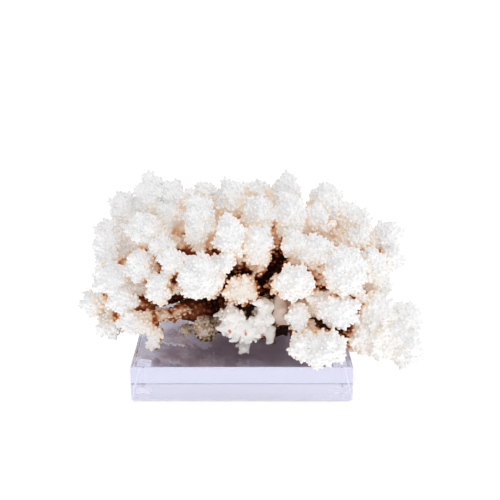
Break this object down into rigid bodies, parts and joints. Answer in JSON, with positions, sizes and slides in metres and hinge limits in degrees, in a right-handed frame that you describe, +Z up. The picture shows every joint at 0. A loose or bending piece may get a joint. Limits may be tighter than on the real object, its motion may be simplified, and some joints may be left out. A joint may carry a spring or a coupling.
{
  "type": "branching coral on a display block",
  "caption": "Stubby-branched white reef coral colony, stained brown inside, standing on a solid clear acrylic display block with thin clear pads.",
  "frame": {"origin": "on the table under the middle of the whole piece's extent; the block's centre is about 5 mm left and 3 mm in front of it", "axes": "+Z up, +X to the right seen from the front, +Y from the front to the back"},
  "size_m": [0.25, 0.1812, 0.1512],
  "materials": {
    "coral_white": "matt chalky skeleton, white heads over ivory to rust stems",
    "coral_bleached": "matt bleached dead branch with small red spots",
    "coral_bare": "matt bare tan stem, smooth",
    "coral_encrusted": "matt pebbly tan crust",
    "coral_stained": "matt dark brown stain",
    "acrylic": "clear, polished",
    "pad_clear": "clear, satin"
  },
  "bodies": {
    "root": {"acrylic_block": "acrylic", "pad_front_left": "pad_clear", "pad_front_right": "pad_clear", "pad_back_left": "pad_clear", "pad_back_right": "pad_clear", "trunk": "coral_stained", "front_lowest": "coral_white", "front_right_rosette": "coral_white", "front_left_paddle": "coral_white", "front_right_paddle": "coral_white", "front_right_low": "coral_white", "dead_fork": "coral_bleached", "front_column": "coral_white", "front_middle": "coral_white", "front_right_inner": "coral_white", "front_centre": "coral_white", "front_low_stem": "coral_white", "bare_stem": "coral_bare", "encrusted_stub": "coral_encrusted", "tall_left_column": "coral_white", "upper_middle": "coral_white", "upper_right": "coral_white", "crown_left": "coral_white", "crown_twin": "coral_white", "crown_right": "coral_white", "left_fan": "coral_white", "left_crown": "coral_white", "left_shoulder": "coral_white", "left_front_upper": "coral_white", "left_front_inner": "coral_white", "left_front_low": "coral_white", "left_middle": "coral_white", "left_low": "coral_white", "right_crown": "coral_white", "right_shoulder": "coral_white", "right_edge": "coral_white", "right_side": "coral_white", "right_low": "coral_white", "back_left_low": "coral_white", "back_left_edge": "coral_white", "back_left_shoulder": "coral_white", "back_left_paddle": "coral_white", "back_left_foot": "coral_white", "back_crown_left": "coral_white", "back_rosette_left": "coral_white", "back_foot_middle": "coral_white", "back_crown_middle": "coral_white", "back_paddle": "coral_white", "back_crown_right": "coral_white", "back_rosette_right": "coral_white", "back_foot_right": "coral_white", "back_right_crown": "coral_white", "back_right_paddle": "coral_white", "back_right_shoulder": "coral_white", "back_right_low": "coral_white", "right_back_low": "coral_white"}
  },
  "joints": []
}
